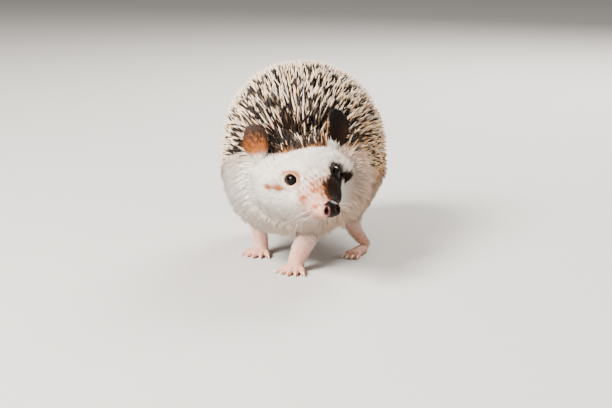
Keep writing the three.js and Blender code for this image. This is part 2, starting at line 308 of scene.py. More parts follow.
# ---- the head's forms, each pair of them given on the left
WHISKER_PAD = ((2.9, -31.2, -7.9), (2.9, 4.6, 2.9), 2.0)
BROW = ((8.2, -12.6, 6.4), (4.0, 5.0, 3.2), 3.0)
CHEEKBONE = ((8.6, -17.5, -2.6), (4.0, 6.0, 3.4), 3.0)
MOUTH = [(0, -34.3, -11.0), (2.9, -31.2, -11.6), (5.2, -26, -12.0), (7.6, -20, -12.0)]
# from the middle of the nose: the rims of a nostril, the opening, and the groove between the two
INNER_RIM = [(1.5, -2.0, 1.9), (1.5, -3.1, 0.5), (1.8, -3.2, -1.0), (2.6, -2.6, -2.1)]
OUTER_RIM = [(3.3, -0.7, 2.0), (4.2, -0.9, 0.4), (4.2, -1.3, -1.0), (3.3, -1.9, -2.2)]
NOSTRIL = [((1.5, 0.6, 0.5), 0.5), ((2.9, -2.4, 0.2), 0.85), ((2.5, -1.8, 1.7), 0.5),
           ((2.9, -2.4, 0.2), 0.85), ((2.9, -2.4, -1.0), 0.8)]
GROOVE = ((0, -3.75, -0.2), (0, -1.4, -4.3), 0.32, 0.5)
GAZE = np.array([0.80, -0.52, 0.28])
GAZE = GAZE / np.linalg.norm(GAZE)
EYE_LONG, EYE_HIGH = 1.2, 0.93  # the lids' opening, against a circle
LID_AT, FOLD_AT, CREASE_AT, CREASE_WAVE = 3.2, 5.3, 4.1, 1.15  # how far from the eye's axis


def eye_axes(side):
    """An eye's gaze, and the directions back and up across it."""
    gaze = mirror(GAZE, side)
    up = np.array([0, 0, 1.0]) - gaze * gaze[2]
    up /= np.linalg.norm(up)
    return gaze, np.cross(up, gaze) * side, up


def eye_polar(h, side):
    """Distance from an eye's centre, the offsets along its gaze, back and up, and the distance
    from its axis where the opening of the lids counts as a circle."""
    q = h - mirror(EYE_AT, side)
    out, back, up = (q @ axis for axis in eye_axes(side))
    wide = np.sqrt((back / EYE_LONG) ** 2 + (up / EYE_HIGH) ** 2)
    return np.linalg.norm(q, axis=1), out, back, up, wide


def head_outer(h):
    d = rounded(h - np.array(SKULL_AT, float), **SKULL)
    for form, k in ((FACE, 4), (SNOUT, 3), (JAW, 2)):
        d = blend(d, cone(h, *form), k)
    return blend(d, ellipsoid(h, NOSE_AT, NOSE_SIZE), 1.0)


def head_depth(h):
    """How deep the coat is over the head: long on the cheeks and crown, next to none in front."""
    _, y, z = h.T
    depth = NOSE_DEPTH + (BROW_DEPTH - NOSE_DEPTH) * smooth(y, -34, -14)
    behind = CHEEK_DEPTH - BROW_DEPTH + (CROWN_DEPTH - CHEEK_DEPTH) * smooth(z, 4, 14)
    return depth + smooth(y, -16, 2) * behind


def nose_skin(h, d):
    """The head's skin d with the nose on it: a ball, two nostrils with rims, and a groove."""
    d = blend(d, ellipsoid(h, NOSE_AT + (0, 0.3, 0.15), (3.4, 3.3, 3.5)), 0.9)
    q = h - NOSE_AT
    for side in SIDES:
        d = blend(d, ellipsoid(q, (side * 2.2, -0.1, -0.3), (2.3, 2.9, 3.0)), 0.7)
        for rod in chain(q, [(mirror(at, side), 0.4) for at in INNER_RIM]):
            d = blend(d, rod, 0.3)
    d = carve(d, cone(q, *GROOVE), 0.7)
    for side in SIDES:
        for pit in chain(q, [(mirror(at, side), r) for at, r in NOSTRIL]):
            d = carve(d, pit, 0.35)
    return d


def eye_skin(h, d, side):
    """The head's skin d with an eye's lids, the folds round it and the ball's socket."""
    r, out, back, up, wide = eye_polar(h, side)
    wrap = 0.75 + 0.75 * smooth(np.abs(up) / np.maximum(wide, 0.5), 0.3, 0.9)
    d = blend(d, np.sqrt((wide - LID_AT) ** 2 + (out - wrap) ** 2) - 0.5, 1.1)
    fold = hump(wide, FOLD_AT, 1.4) * smooth(-up, 0.4, 2.4) * smooth(out, -4, -1)
    d = d + 0.2 * fold * np.cos((wide - CREASE_AT) * 2 * math.pi / CREASE_WAVE)
    d = d - 0.22 * hump(wide, 4.5, 0.8) * smooth(up, 0.6, 2.4)
    ball = np.sqrt(r**2 - 0.12 * back**2 - 0.2 * np.maximum(out, 0) ** 2) - EYE_R + 0.02
    return carve(d, ball, 0.2)


def skin_head(h):
    d = rounded(h - np.array(SKULL_AT, float), **SKULL)
    for form, k in ((FACE, 5), (SNOUT, 4)):
        d = blend(d, cone(h, *form), k)
    d = blend(d + head_depth(h), cone(h, *JAW) + 0.8, 1.6)
    for side in SIDES:
        for at, size, k in (WHISKER_PAD, BROW, CHEEKBONE):
            d = blend(d, ellipsoid(h, mirror(at, side), size), k)
    # the swellings stay under the coat's tips, but for the bare end of the muzzle
    d = np.maximum(d, head_outer(h) + 0.45 - 1.2 * smooth(-h[:, 1], 24, 29))
    d = nose_skin(h, d)
    for side in SIDES:
        for rod in chain(h, [(mirror(at, side), 0.38) for at in MOUTH]):
            d = carve(d, rod, 0.8)
    for side in SIDES:
        d = eye_skin(h, d, side)
    return d


# ---- the whole animal
PARTS = ["trunk", "neck", "head", *EARS, "tail", *(f"leg_{n}" for n in LEGS), *(f"foot_{n}" for n in LEGS)]
HEAD_ROW = PARTS.index("head")
JOIN = {"neck": 12, "head": 7, "ear": 1.6, "tail": 3, "leg": 5, "foot": 1.4}
MARGIN = 9.0


def near(p, points, radius):
    pts = np.asarray(points, float)
    return np.all((p > pts.min(0) - radius) & (p < pts.max(0) + radius), axis=1)


def part_distances(p, coat):
    """Distance from each point to each part of the body: its skin, or with coat its hair tips."""
    out = np.full((len(PARTS), len(p)), FAR)

    def put(name, mask, make):
        if mask.any():
            out[PARTS.index(name), mask] = make(p[mask])

    def under(depth):
        return 0 if coat else depth

    put("trunk", np.ones(len(p), bool), lambda q: trunk_form(q) + (0 if coat else body_depth(q)))
    put("neck", near(p, [NECK_AT], 42 + MARGIN), lambda q: neck_form(q, coat))
    put("head", near(p, from_head([(0, 0, 0), (0, -30, -5)]), 30),
        lambda q: head_outer(to_head(q)) if coat else skin_head(to_head(q)))
    for name, side in EARS.items():
        put(name, near(p, [from_head(EAR_AT[side])], 14 + MARGIN),
            lambda q: ear_form(to_head(q), side, coat) + under(EAR_DEPTH))
    put("tail", near(p, TAIL[:2], 8 + MARGIN), lambda q: cone(q, *TAIL) + under(TAIL_DEPTH))
    for name, leg in LEGS.items():
        put(f"leg_{name}", near(p, leg["path"], 16 + MARGIN),
            lambda q: leg_form(q, leg, under(LIMB_DEPTH[name.split("_")[0]])))
        wrist = leg["wrist"] * (1, 1, 0)
        put(f"foot_{name}", near(p, [wrist + (0, -26, -1), wrist + (0, 4, 6)], 9),
            lambda q: foot_form(q, leg, under(FOOT_DEPTH)))
    return out


def join_parts(parts):
    d = parts[0]
    for name, row in zip(PARTS[1:], parts[1:]):
        d = blend(d, row, JOIN[name.split("_")[0]])
    return d


def skin(p):
    d = join_parts(part_distances(p, False))
    return np.maximum(d, FLOOR_CLEAR - p[:, 2])


def outer(p):
    return join_parts(part_distances(p, True))


def part_names(parts):
    return np.array(PARTS)[parts.argmin(0)]


def is_kind(names, *kinds):
    return np.any([np.char.startswith(names, kind) for kind in kinds], axis=0)


def head_share(parts, outside, inside):
    """1 on the head, 0 on the body, changing between two differences of distance."""
    return smooth(parts[HEAD_ROW] - np.minimum(parts[0], parts[1]), outside, inside)


def gradient(f, p, step=0.12):
    g = np.empty_like(p)
    for axis in range(3):
        shift = np.zeros(3)
        shift[axis] = step
        g[:, axis] = f(p + shift) - f(p - shift)
    return g / (2 * step)


# ---- the skin's mesh
def axis_steps(*spans):
    """Grid lines along one axis: (start, end, spacing) spans in a row."""
    lines = [np.linspace(a, b, max(2, round((b - a) / step) + 1))[:-1] for a, b, step in spans]
    return np.append(np.concatenate(lines), spans[-1][1])


GRID = [
    axis_steps((-46, -2, 0.85), (-2, 42, 0.55), (42, 48, 0.85)),
    axis_steps((-102, -60, 0.5), (-60, -38, 0.7), (-38, 12, 1.05), (12, 44, 0.8), (44, 74, 1.2)),
    axis_steps((-0.6, 7, 0.55), (7, 30, 0.85), (30, 72, 0.55), (72, 92, 1.0)),
]
COARSE, BAND, BATCH = 4, 3.2, 200000


def grid_places(lines, index):
    return np.stack([lines[a][index[:, a]] for a in range(3)], 1)


def grid_distances(f, lines):
    """f on the grid: exact near the surface, and interpolated from a coarse grid elsewhere."""
    coarse = [np.append(q[:-1:COARSE], q[-1]) for q in lines]
    at = np.stack(np.meshgrid(*coarse, indexing="ij"), -1).reshape(-1, 3)
    rough = f(at).reshape([len(q) for q in coarse])
    for axis, (fine, few) in enumerate(zip(lines, coarse)):
        spread = np.array([np.interp(fine, few, row) for row in np.eye(len(few))]).T
        rough = np.moveaxis(np.tensordot(spread, rough, (1, axis)), 0, axis)
    close = np.argwhere(np.abs(rough) < BAND)
    points = grid_places(lines, close)
    for start in range(0, len(points), BATCH):
        part = slice(start, start + BATCH)
        rough[tuple(close[part].T)] = f(points[part])
    return rough


def surface_net(f, lines):
    """Vertices and quads of the surface f = 0, one vertex for each grid cell that it crosses."""
    d = grid_distances(f, lines)
    inside = d < 0
    nx, ny, nz = (n - 1 for n in d.shape)
    corners = [(i, j, k) for i in (0, 1) for j in (0, 1) for k in (0, 1)]
    total = sum(inside[i : nx + i, j : ny + j, k : nz + k].astype(np.int8) for i, j, k in corners)
    cells = np.argwhere((total > 0) & (total < 8))
    ids = np.full((nx, ny, nz), -1, np.int32)
    ids[tuple(cells.T)] = np.arange(len(cells))
    where = np.zeros((len(cells), 3))
    count = np.zeros(len(cells))
    for a in corners:
        for axis in range(3):
            if a[axis]:
                continue
            b = list(a)
            b[axis] = 1
            ca, cb = cells + a, cells + b
            da, db = d[tuple(ca.T)], d[tuple(cb.T)]
            cross = (da < 0) != (db < 0)
            t = (da[cross] / (da[cross] - db[cross]))[:, None]
            pa, pb = grid_places(lines, ca[cross]), grid_places(lines, cb[cross])
            where[cross] += pa + t * (pb - pa)
            count[cross] += 1
    where /= count[:, None]
    quads = []
    for axis in range(3):
        u, v = (axis + 1) % 3, (axis + 2) % 3
        low, high = [slice(1, -1)] * 3, [slice(1, -1)] * 3
        low[axis], high[axis] = slice(0, -1), slice(1, None)
        a, b = inside[tuple(low)], inside[tuple(high)]
        for flip in (False, True):
            hit = np.argwhere((a & ~b) if flip else (~a & b))
            ring = []
            for du, dv in ((0, 0), (1, 0), (1, 1), (0, 1)):
                cell = hit.copy()
                cell[:, u] += du
                cell[:, v] += dv
                ring.append(ids[tuple(cell.T)])
            ring = np.stack(ring, 1)
            quads.append(ring if flip else ring[:, ::-1])
    return where, np.concatenate(quads)


def settle(f, p, rounds=2):
    """Moves points onto the surface f = 0."""
    for _ in range(rounds):
        g = gradient(f, p)
        size = np.maximum((g * g).sum(1), 0.25)
        step = -(f(p) / size)[:, None] * g
        p = p + np.clip(step, -0.35, 0.35)
    return p, unit(gradient(f, p))


# ---- from millimetres to the frame
eye_low, eye_high = (np.array(c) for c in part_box("eye_left"))
SHIFT = (eye_low + eye_high) / 2 - from_head(EYE_AT) * MM


def link(obj):
    bpy.context.scene.collection.objects.link(obj)
    return obj


def add_mesh(name, points, faces, material, values, uv=None):
    """A mesh object from arrays. faces is a list of (n, k) index arrays."""
    mesh = bpy.data.meshes.new(name)
    mesh.vertices.add(len(points))
    mesh.vertices.foreach_set("co", (np.asarray(points) * MM + SHIFT).astype(np.float32).ravel())
    loops = np.concatenate([f.ravel() for f in faces]).astype(np.int32)
    sizes = np.concatenate([np.full(len(f), f.shape[1]) for f in faces])
    starts = np.concatenate([[0], np.cumsum(sizes)[:-1]]).astype(np.int32)
    mesh.loops.add(len(loops))
    mesh.loops.foreach_set("vertex_index", loops)
    mesh.polygons.add(len(sizes))
    mesh.polygons.foreach_set("loop_start", starts)
    mesh.polygons.foreach_set("use_smooth", np.ones(len(sizes), bool))
    mesh.update(calc_edges=True)
    for key, data in values.items():
        kind, field = ("FLOAT_COLOR", "color") if data.ndim == 2 else ("FLOAT", "value")
        if data.ndim == 2:
            data = np.concatenate([data, np.ones((len(data), 1))], 1)
        layer = mesh.attributes.new(key, kind, "POINT")
        layer.data.foreach_set(field, data.astype(np.float32).ravel())
    if uv is not None:
        mesh.uv_layers.new(name="OFBake").data.foreach_set("uv", uv.astype(np.float32).ravel())
    mesh.materials.append(material)
    obj = link(bpy.data.objects.new(name, mesh))
    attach(obj, "root")
    return obj


# ---- colours, linear
def hexcolor(text):
    c = np.array([int(text[i : i + 2], 16) / 255 for i in (0, 2, 4)])
    return np.where(c <= 0.04045, c / 12.92, ((c + 0.055) / 1.055) ** 2.4)


WHITE = hexcolor("f8f2ea")
CREAM = hexcolor("ead8bd")
TAN = hexcolor("b88a5e")
CHEST = hexcolor("dfc0a4")
# the colour of painted warm shade on the left flank and cheek
SHADE_HONEY = hexcolor("c48c50")
STRAW = hexcolor("e6c294")
AMBER = hexcolor("c9803c")
BROWN = hexcolor("2e1c14")
BLACK = hexcolor("0c0807")
PINK = hexcolor("e0a890")
DEEP_PINK = hexcolor("c8795f")
SHADE = hexcolor("6b4a3c")
EAR_PINK = hexcolor("9c5a2a")
LID = hexcolor("e6b79c")
LIP = hexcolor("d8755a")
MASK_AND_SHADE_BROWN = hexcolor("3a1d0c")
FLECK = hexcolor("a0581a")
MUZZLE = hexcolor("c66c34")
NOSE_BROWN = hexcolor("3a1610")
NOSE_RIM = hexcolor("d08c7a")
NOSE_PIT = hexcolor("2a0806")
PUPIL, IRIS_DARK, IRIS_PALE = hexcolor("010101"), hexcolor("060303"), hexcolor("140905")
CLAW_ROOT, CLAW_TIP = hexcolor("d8a58c"), hexcolor("efe0cb")
# the tint of painted shade on the quills of the left flank
SHADED_FLANK_TINT = np.array([0.76, 0.59, 0.36])
# the tint of painted shade at the roots of long fur
ROOT_SHADE_TINT = np.array([0.60, 0.46, 0.35])


def mix(a, b, t):
    return a + (b - a) * np.asarray(t)[..., None]


def ripple(p, wave, seed):
    """Smooth noise from -1 to 1 with features of about wave mm."""
    out = np.zeros(len(p))
    local = np.random.default_rng(seed)
    for _ in range(5):
        k = unit(local.normal(size=3)) * 2 * math.pi / (wave * local.uniform(0.8, 1.6))
        out += np.sin(p @ k + local.uniform(0, 6.28))
    return out / 5**0.5 / 1.2


def stroke(h, places, wobble, soft):
    """1 within a stroke through (place, radius) after (place, radius), falling softly to 0 outside."""
    return 1 - smooth(np.min(chain(h, places), 0) + wobble, -soft, soft)


def strip(h, points, radius, soft):
    return stroke(h, [(at, radius) for at in points], 0, soft)


# strokes of the marks on the face, the dark mask among them partly painted shade: a place on the head, and
# how far the mark spreads from it
MASK_AND_SHADE = [((12.5, -14.0, 0.6), 3.2), ((10.4, -15.4, 3.4), 4.7), ((9.6, -20.5, 0.4), 5.2),
        ((6.6, -26.5, -1.8), 6.4), ((3.8, -33.5, -3.8), 4.8)]
MASK_AND_SHADE_TAIL = [((13.5, -13.5, -1.4), 2.6), ((16.0, -10.8, -1.6), 2.1), ((19.0, -6.5, -2.8), 1.0)]
MASK_AND_SHADE_EDGE = [(-35, 0.4), (-31.6, 0.3), (-29.5, 0.8), (-27.8, 2.1), (-24.5, 4.4), (-19.2, 6.8), (-16, 7.6)]
TAN_LINE = [(-18.2, -7.6, -1.0), (-15.7, -11.6, -0.9), (-13.6, -14.6, -0.9)]
MOLE_AT = (-21.6, 4.6, -1.4)
PINK_LIP = [(-0.5, -37.4, -10.6), (-3.1, -35.9, -10.1), (-5.2, -33.2, -9.9)]
LEFT_LIP = [(0, -34.3, -11.0), (3, -31, -11.6), (5.2, -26, -12), (7.6, -20, -12)]


def face_marks(h):
    """Strengths of the dark mask, the animal's own marking with painted shade on it, the tan marks, the bare
    pink of the muzzle, and the mole.
    """
    x, y, z = h.T
    wobble = 0.7 * ripple(h, 3.2, 3) + 0.5 * ripple(h, 1.3, 4)
    # the mask, partly marking and partly painted shade, and the brown hairs beside its edge on the bridge of
    # the nose
    over = x + 0.6 * wobble - np.interp(y, *np.transpose(MASK_AND_SHADE_EDGE))
    dark = stroke(h, MASK_AND_SHADE, wobble, 1.0) * smooth(over, -0.7, 1.0)
    dark = np.maximum(dark, stroke(h, MASK_AND_SHADE_TAIL, wobble, 0.8))
    streak = ripple(h * (1, 0.4, 1), 1.3, 15)
    beside = smooth(over, -3.6, -0.6) * smooth(-y, 23, 27) * smooth(z, -5, -2)
    beside *= smooth(streak + 0.5 * over + 1.0, -0.3, 0.8)
    dark = np.maximum(dark, 0.75 * beside)
    # tan: a line behind the right eye and the flecks on the bridge
    tan = strip(h, TAN_LINE, 1.2 + 0.5 * wobble, 0.9)
    flecks = smooth(ripple(h * (1, 0.5, 1), 1.5, 5) + 0.7 * ripple(h, 4.5, 6), -0.4, 1.0)
    bridge = smooth(-y, 15, 23) * smooth(z, -9, -5) * (1 - smooth(-y, 33, 36))
    tan = np.maximum(tan, flecks * bridge * smooth(x, -12, -8.5))
    tan = np.maximum(tan, beside)
    pink = 0.95 * smooth(-y - 0.4 * z, 18, 31) * (0.75 + 0.25 * ripple(h * (1, 0.4, 1), 1.4, 16))
    # a tan arc, creases and a pink rim round the right eye, and a dark ring round the left one, part of the
    # mask and its painted shade
    _, out, back, up, wide = eye_polar(h, -1)
    arc = hump(wide, 4.0, 0.65) * smooth(up - 0.5 * back, -1.5, 0.8)
    creases = hump(wide, FOLD_AT, 1.3) * smooth(-up, 0.4, 2.2) * smooth(out, -4, -1)
    lines = smooth(-np.cos((wide - CREASE_AT) * 2 * math.pi / CREASE_WAVE), 0.1, 1.0)
    tan = np.maximum(tan, 0.95 * arc + 0.75 * creases * lines)
    pink = np.maximum(pink, 0.4 * (1 - smooth(wide, 3.2, 4.2)) * smooth(out, -3, 0))
    _, out, _, _, wide = eye_polar(h, 1)
    dark = np.maximum(dark, (1 - smooth(wide + 0.4 * wobble, 3.8, 4.6)) * smooth(out, -3, -1))
    mole = 1 - smooth(np.linalg.norm(h - MOLE_AT, axis=1), 0.7, 1.3)
    return dark, np.clip(tan, 0, 1), pink, mole


def ear_reach(q):
    """0 in the middle of an ear and 1 on its rim."""
    return np.hypot(q[:, 0] / EAR["width"], q[:, 2] / EAR["height"])


def ear_behind(q):
    """How far a place lies behind the middle of an ear's curved leaf."""
    return q[:, 1] + EAR["cup"] * q[:, 0] ** 2


def ear_tone(p, q, side):
    """The colour of an ear: the right one brown with a dark top, and the left one nearly black."""
    x, _, z = q.T
    inner = (1 - 0.8 * smooth(ear_reach(q), 0.72, 0.98)) * (ear_behind(q) < 0.2)
    mottle = 3.2 * ripple(q * (1, 1, 0.5), 1.3, 12) + 1.2 * x / EAR["width"]
    low = 1 - smooth(z + mottle, -5.0, 6.5)
    if side < 0:
        root = 0.25 * (1 - smooth(z, -7, 1))
        tone = mix(mix(BLACK, BROWN, 0.8) + 0.012, EAR_PINK, np.clip(low * inner + root, 0, 1))
        tone = mix(tone, WHITE, 0.75 * smooth(-z + 0.8 * ripple(p, 1.5, 17), 4.0, 8.5))
    else:
        tone = 0.7 * mix(mix(BLACK, BROWN, 0.12), mix(BROWN, EAR_PINK, 0.15), 0.3 * low * inner)
    return tone * (1 + 0.12 * ripple(p, 1.6, 12))[:, None]


def markings(p, parts):
    """The colour of the coat at its roots, with painted warm shade on its left side, the colour of bare skin,
    and the marks behind them.
    """
    name = part_names(parts)
    h = to_head(p)
    x, y, z = p.T
    dark, tan, pink, mole = face_marks(h)
    on_head = head_share(parts, 3, -1)
    off_head = 1 - on_head
    # fur: white above and greyer below, tan along the hems, and painted warm shade on the left flank and
    # cheek
    fur = mix(np.broadcast_to(WHITE, p.shape), CHEST, 0.5 * (1 - smooth(z, 20, 42)))
    hem = hump(above_hem(p), -1.5, 3.2) * off_head
    skirt = (1 - smooth(z, 18, 30)) * np.maximum(smooth(y, -60, -30), smooth(x, 6, -12))
    warm_shade = 0.54 * smooth(x, 8, 28) * off_head + 0.4 * smooth(h[:, 0], 12, 20) * on_head
    fur = mix(fur, TAN, np.clip(0.5 * hem + 0.72 * skirt * (0.6 + 0.4 * ripple(p, 7, 9)), 0, 0.85))
    fur = mix(fur, SHADE_HONEY, np.clip(warm_shade, 0, 1))
    fur = mix(fur, mix(TAN, FLECK, 0.8), tan * on_head * 0.95)
    fur = mix(fur, MUZZLE, 0.75 * pink * on_head * smooth(h[:, 1], -6, -14))
    grain = 0.5 + 0.5 * ripple(h, 0.9, 8)
    # the dark mask on the fur: partly marking, partly painted shade
    fur = mix(fur, mix(BLACK, MASK_AND_SHADE_BROWN, 0.6 * grain), np.clip(1.25 * dark + mole, 0, 1) * on_head)
    flesh = mix(np.broadcast_to(PINK, p.shape), DEEP_PINK, 0.35 + 0.25 * ripple(p, 3.0, 11))
    for ear_name, side in EARS.items():
        here = (name == ear_name)[:, None]
        tone = ear_tone(p, to_ear(h, side), side)
        fur = np.where(here, tone, fur)
        flesh = np.where(here, tone, flesh)
    pale = (0.6 + 0.34 * smooth(z, 6, 15))[:, None]
    limb = mix(fur, PINK + (WHITE - PINK) * pale, smooth(z, 26, 12))
    fur = np.where(is_kind(name, "leg", "foot", "tail")[:, None], limb, fur)
    return fur, flesh, dict(dark=dark, tan=tan, pink=pink, on_head=on_head, name=name)


# ---- materials
class Nodes:
    """A short way to write a material's node tree."""

    def __init__(self, name):
        self.material = bpy.data.materials.new(name)
        self.material.use_nodes = True
        self.tree = self.material.node_tree
        self.shader = self.tree.nodes["Principled BSDF"]

    def add(self, kind, **settings):
        node = self.tree.nodes.new(f"ShaderNode{kind}")
        for key, value in settings.items():
            if key in node.inputs:
                self.feed(node.inputs[key], value)
            else:
                setattr(node, key, value)
        return node

    def feed(self, socket, value):
        if isinstance(value, bpy.types.NodeSocket):
            self.tree.links.new(value, socket)
        else:
            socket.default_value = value

    def set(self, **sockets):
        for key, value in sockets.items():
            self.feed(self.shader.inputs[key.replace("_", " ")], value)

    def attribute(self, name, output="Color"):
        return self.add("Attribute", attribute_name=name).outputs[output]

    def place(self):
        return self.add("TexCoord").outputs["Object"]

    def noise(self, scale, detail):
        return self.add("TexNoise", Vector=self.place(), Scale=scale, Detail=detail).outputs["Fac"]

    def ramp(self, fac, low_at, low, high_at, high):
        node = self.add("ValToRGB", Fac=fac)
        for element, at, color in zip(node.color_ramp.elements, (low_at, high_at), (low, high)):
            element.position = at
            element.color = (*color, 1) if np.ndim(color) else (color, color, color, 1)
        return node.outputs["Color"]

    def between(self, fac, low, high):
        return self.add("MapRange", Value=fac, **{"To Min": low, "To Max": high}).outputs[0]

    def mix(self, fac, a, b, kind="MIX"):
        node = self.add("Mix", data_type="RGBA", blend_type=kind)
        for key, value in ((0, fac), (6, a), (7, b)):
            self.feed(node.inputs[key], (*value, 1) if isinstance(value, np.ndarray) else value)
        return node.outputs[2]

    def darken(self, color, fac, low_at, low, high_at):
        """color, brought down to low of itself where fac is low."""
        return self.mix(1.0, color, self.ramp(fac, low_at, low, high_at, 1.0), "MULTIPLY")

    def bump(self, height, strength, distance):
        self.set(Normal=self.add("Bump", Height=height, Strength=strength, Distance=distance).outputs[0])


def skin_material():
    m = Nodes("skin")
    pores = m.noise(1500, 5)
    color = m.darken(m.attribute("tone"), m.noise(260, 3), 0.3, 0.80, 0.7)
    color = m.darken(color, pores, 0.3, 0.82, 0.65)
    wet = m.attribute("wet", "Fac")
    m.set(Base_Color=color, Roughness=m.between(wet, 0.58, 0.42), Specular_IOR_Level=0.1,
          Subsurface_Weight=0.12, Subsurface_Scale=0.0012, Subsurface_Radius=(1.0, 0.4, 0.25))
    grain = m.add("TexVoronoi", Vector=m.place(), Scale=2600)
    height = m.add("Math", operation="ADD")
    m.feed(height.inputs[0], pores)
    m.feed(height.inputs[1], grain.outputs["Distance"])
    m.bump(height.outputs[0], m.between(wet, 0.35, 0.12), 0.00018)
    return m.material


def coat_material(name, roughness, shine, scale, low):
    m = Nodes(name)
    streak = m.noise(scale, 3)
    color = m.darken(m.attribute("tone"), streak, 0.25, low, 0.7)
    m.set(Base_Color=color, Roughness=roughness, Specular_IOR_Level=shine)
    m.bump(streak, 0.2, 0.00005)
    return m.material


def eye_material():
    m = Nodes("eye")
    fibres = m.noise(900, 6)
    iris = m.ramp(fibres, 0.3, IRIS_DARK, 0.7, IRIS_PALE)
    m.set(Base_Color=m.mix(m.attribute("iris", "Fac"), PUPIL, iris), Roughness=0.2, Specular_IOR_Level=0.06,
          Coat_Weight=0.3, Coat_Roughness=0.02, Coat_IOR=1.3)
    m.bump(fibres, 0.05, 0.00002)
    return m.material


def claw_material():
    m = Nodes("claw")
    growth = m.noise(700, 4)
    color = m.mix(m.attribute("along", "Fac"), CLAW_ROOT, CLAW_TIP)
    m.set(Base_Color=m.darken(color, growth, 0.3, 0.78, 0.7), Roughness=0.3,
          Subsurface_Weight=0.15, Subsurface_Scale=0.0006)
    m.bump(growth, 0.2, 0.00005)
    return m.material


SKIN, EYE, CLAW = skin_material(), eye_material(), claw_material()
FUR = coat_material("fur", 0.75, 0.04, 900, 0.86)
QUILL = coat_material("quill", 0.45, 0.16, 1400, 0.8)

# ---- the skin
points, quads = surface_net(skin, GRID)
points, normals = settle(skin, points)
skin_parts = part_distances(points, False)


def nose_wetness(h):
    """1 on the bare leather of the nose, 0 on the furred muzzle."""
    x, y, z = (h - NOSE_AT).T
    reach = np.sqrt((x / 4.3) ** 2 + ((y + 1.2) / 3.3) ** 2 + ((z - 0.2) / 4.2) ** 2)
    return 1 - smooth(reach + 0.06 * ripple(h, 2.5, 21), 1.0, 1.14)


def skin_tones(p, parts):
    """The skin's colour, with the coat's markings and painted shade under the coat on it, and how wet it is.
    """
    fur, flesh, marks = markings(p, parts)
    on_head, dark = marks["on_head"], marks["dark"]
    h = to_head(p)
    bare = np.clip(marks["pink"] * on_head, 0, 1)
    tone = mix(fur * 0.9, flesh, 0.25 + 0.45 * bare)
    # painted shade: the skin is darker where the coat over it is deep, to show as shadow between the tufts
    tone = mix(tone, mix(SHADE, flesh, 0.4), 0.6 * smooth(-outer(p), 1.0, 4.0))
    tone = mix(tone, FLECK, marks["tan"] * on_head * 0.9)
    # the dark mask on the skin: partly marking, partly painted shade
    tone = mix(tone, mix(BLACK, BROWN, 0.3), np.clip(dark * on_head, 0, 1) * 0.97)
    # painted shade on the skin under the quills, dark in the gaps between them
    tone = mix(tone, SHADE * 0.45, smooth(above_hem(p), -2, 4) * (1 - on_head))
    limb = is_kind(marks["name"], "foot", "leg")[:, None]
    tone = np.where(limb, mix(tone, flesh, smooth(p[:, 2], 22, 9)), tone)
    tone = np.where(is_kind(marks["name"], "ear")[:, None], flesh, tone)
    wet = nose_wetness(h)
    brown = 0.35 * smooth(NOSE_AT[0] - h[:, 0], -0.5, 1.5)
    tone = mix(tone, 0.5 * mix(BLACK, NOSE_BROWN, brown), wet)
    for side, pale in ((-1, 0.8), (1, 0.08)):
        q = mirror(h - NOSE_AT, side)
        rims = np.maximum(0.8 * strip(q, INNER_RIM, 0.35, 0.25), strip(q, OUTER_RIM, 0.8, 0.4))
        tone = mix(tone, NOSE_RIM, rims * pale)
        tone = mix(tone, NOSE_PIT, strip(q, [at for at, _ in NOSTRIL[1:]], 0.8, 0.2))
    tone = mix(tone, LIP, strip(h, PINK_LIP, 0.8, 0.4) * (1 - wet))
    for side in SIDES:
        _, out, _, up, wide = eye_polar(h, side)
        in_front = smooth(out, -2, 0)
        pale = (1 - smooth(up, -0.5, 1.5)) * (1 - dark)
        tone = mix(tone, LID, (1 - smooth(wide, 3.1, 3.6)) * in_front * pale * 0.9)
        tone = mix(tone, mix(BLACK, BROWN, 0.7), (1 - smooth(wide, 2.8, 3.15)) * in_front)
    return tone, wet


tone, wet = skin_tones(points, skin_parts)
skin_obj = add_mesh("skin", points, [quads], SKIN, dict(tone=tone, wet=wet))
flesh_nodes = [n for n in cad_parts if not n.startswith(("claw", "eye"))]
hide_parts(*flesh_nodes)


# ---- eyes and claws
def circle(sides):
    """The cosine and sine of each of the angles round a ring."""
    turn = np.arange(sides) / sides * 2 * math.pi
    return np.cos(turn), np.sin(turn)


def ring_faces(rows, sides):
    """The quads between rings of points, and the first and last ring as caps."""
    grid = np.arange(rows * sides).reshape(rows, sides)
    nxt = np.roll(grid, -1, 1)
    faces = np.stack([grid[1:], nxt[1:], nxt[:-1], grid[:-1]], -1).reshape(-1, 4)
    return faces, np.stack([grid[0], grid[-1][::-1]])


EYE_RINGS, EYE_SIDES, EYE_STRETCH, CORNEA = 32, 48, 1.07, 0.35
for name, side in (("eye_left", 1), ("eye_right", -1)):
    angle = np.linspace(0, math.pi, EYE_RINGS)[:, None, None]
    bulge = EYE_R + CORNEA * np.exp(-((angle / 0.95) ** 4)) - 0.03
    gaze, back, up = eye_axes(side)
    c, s = (q[:, None] for q in circle(EYE_SIDES))
    ball = np.cos(angle) * gaze + np.sin(angle) * (EYE_STRETCH * c * back * side + s * up)
    verts = from_head(mirror(EYE_AT, side) + (ball * bulge).reshape(-1, 3))
    verts_angle = np.repeat(angle, EYE_SIDES)
    iris = smooth(verts_angle, 0.36, 0.5) * (1 - smooth(verts_angle, 0.8, 0.95))
    eye = add_mesh(name + "_ball", verts, [ring_faces(EYE_RINGS, EYE_SIDES)[0]], EYE, dict(iris=iris))
    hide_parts(name)


def tube(path, radii, sides):
    """Rings of points around a path, a little higher than wide."""
    tangent = unit(np.gradient(path, axis=0))
    side = unit(np.cross(tangent, (0, 0, 1.0)))
    over = np.cross(side, tangent)
    c, s = (q[None, :, None] for q in circle(sides))
    ring = c * side[:, None] + 1.25 * s * over[:, None]
    return (path[:, None] + ring * radii[:, None, None]).reshape(-1, 3)


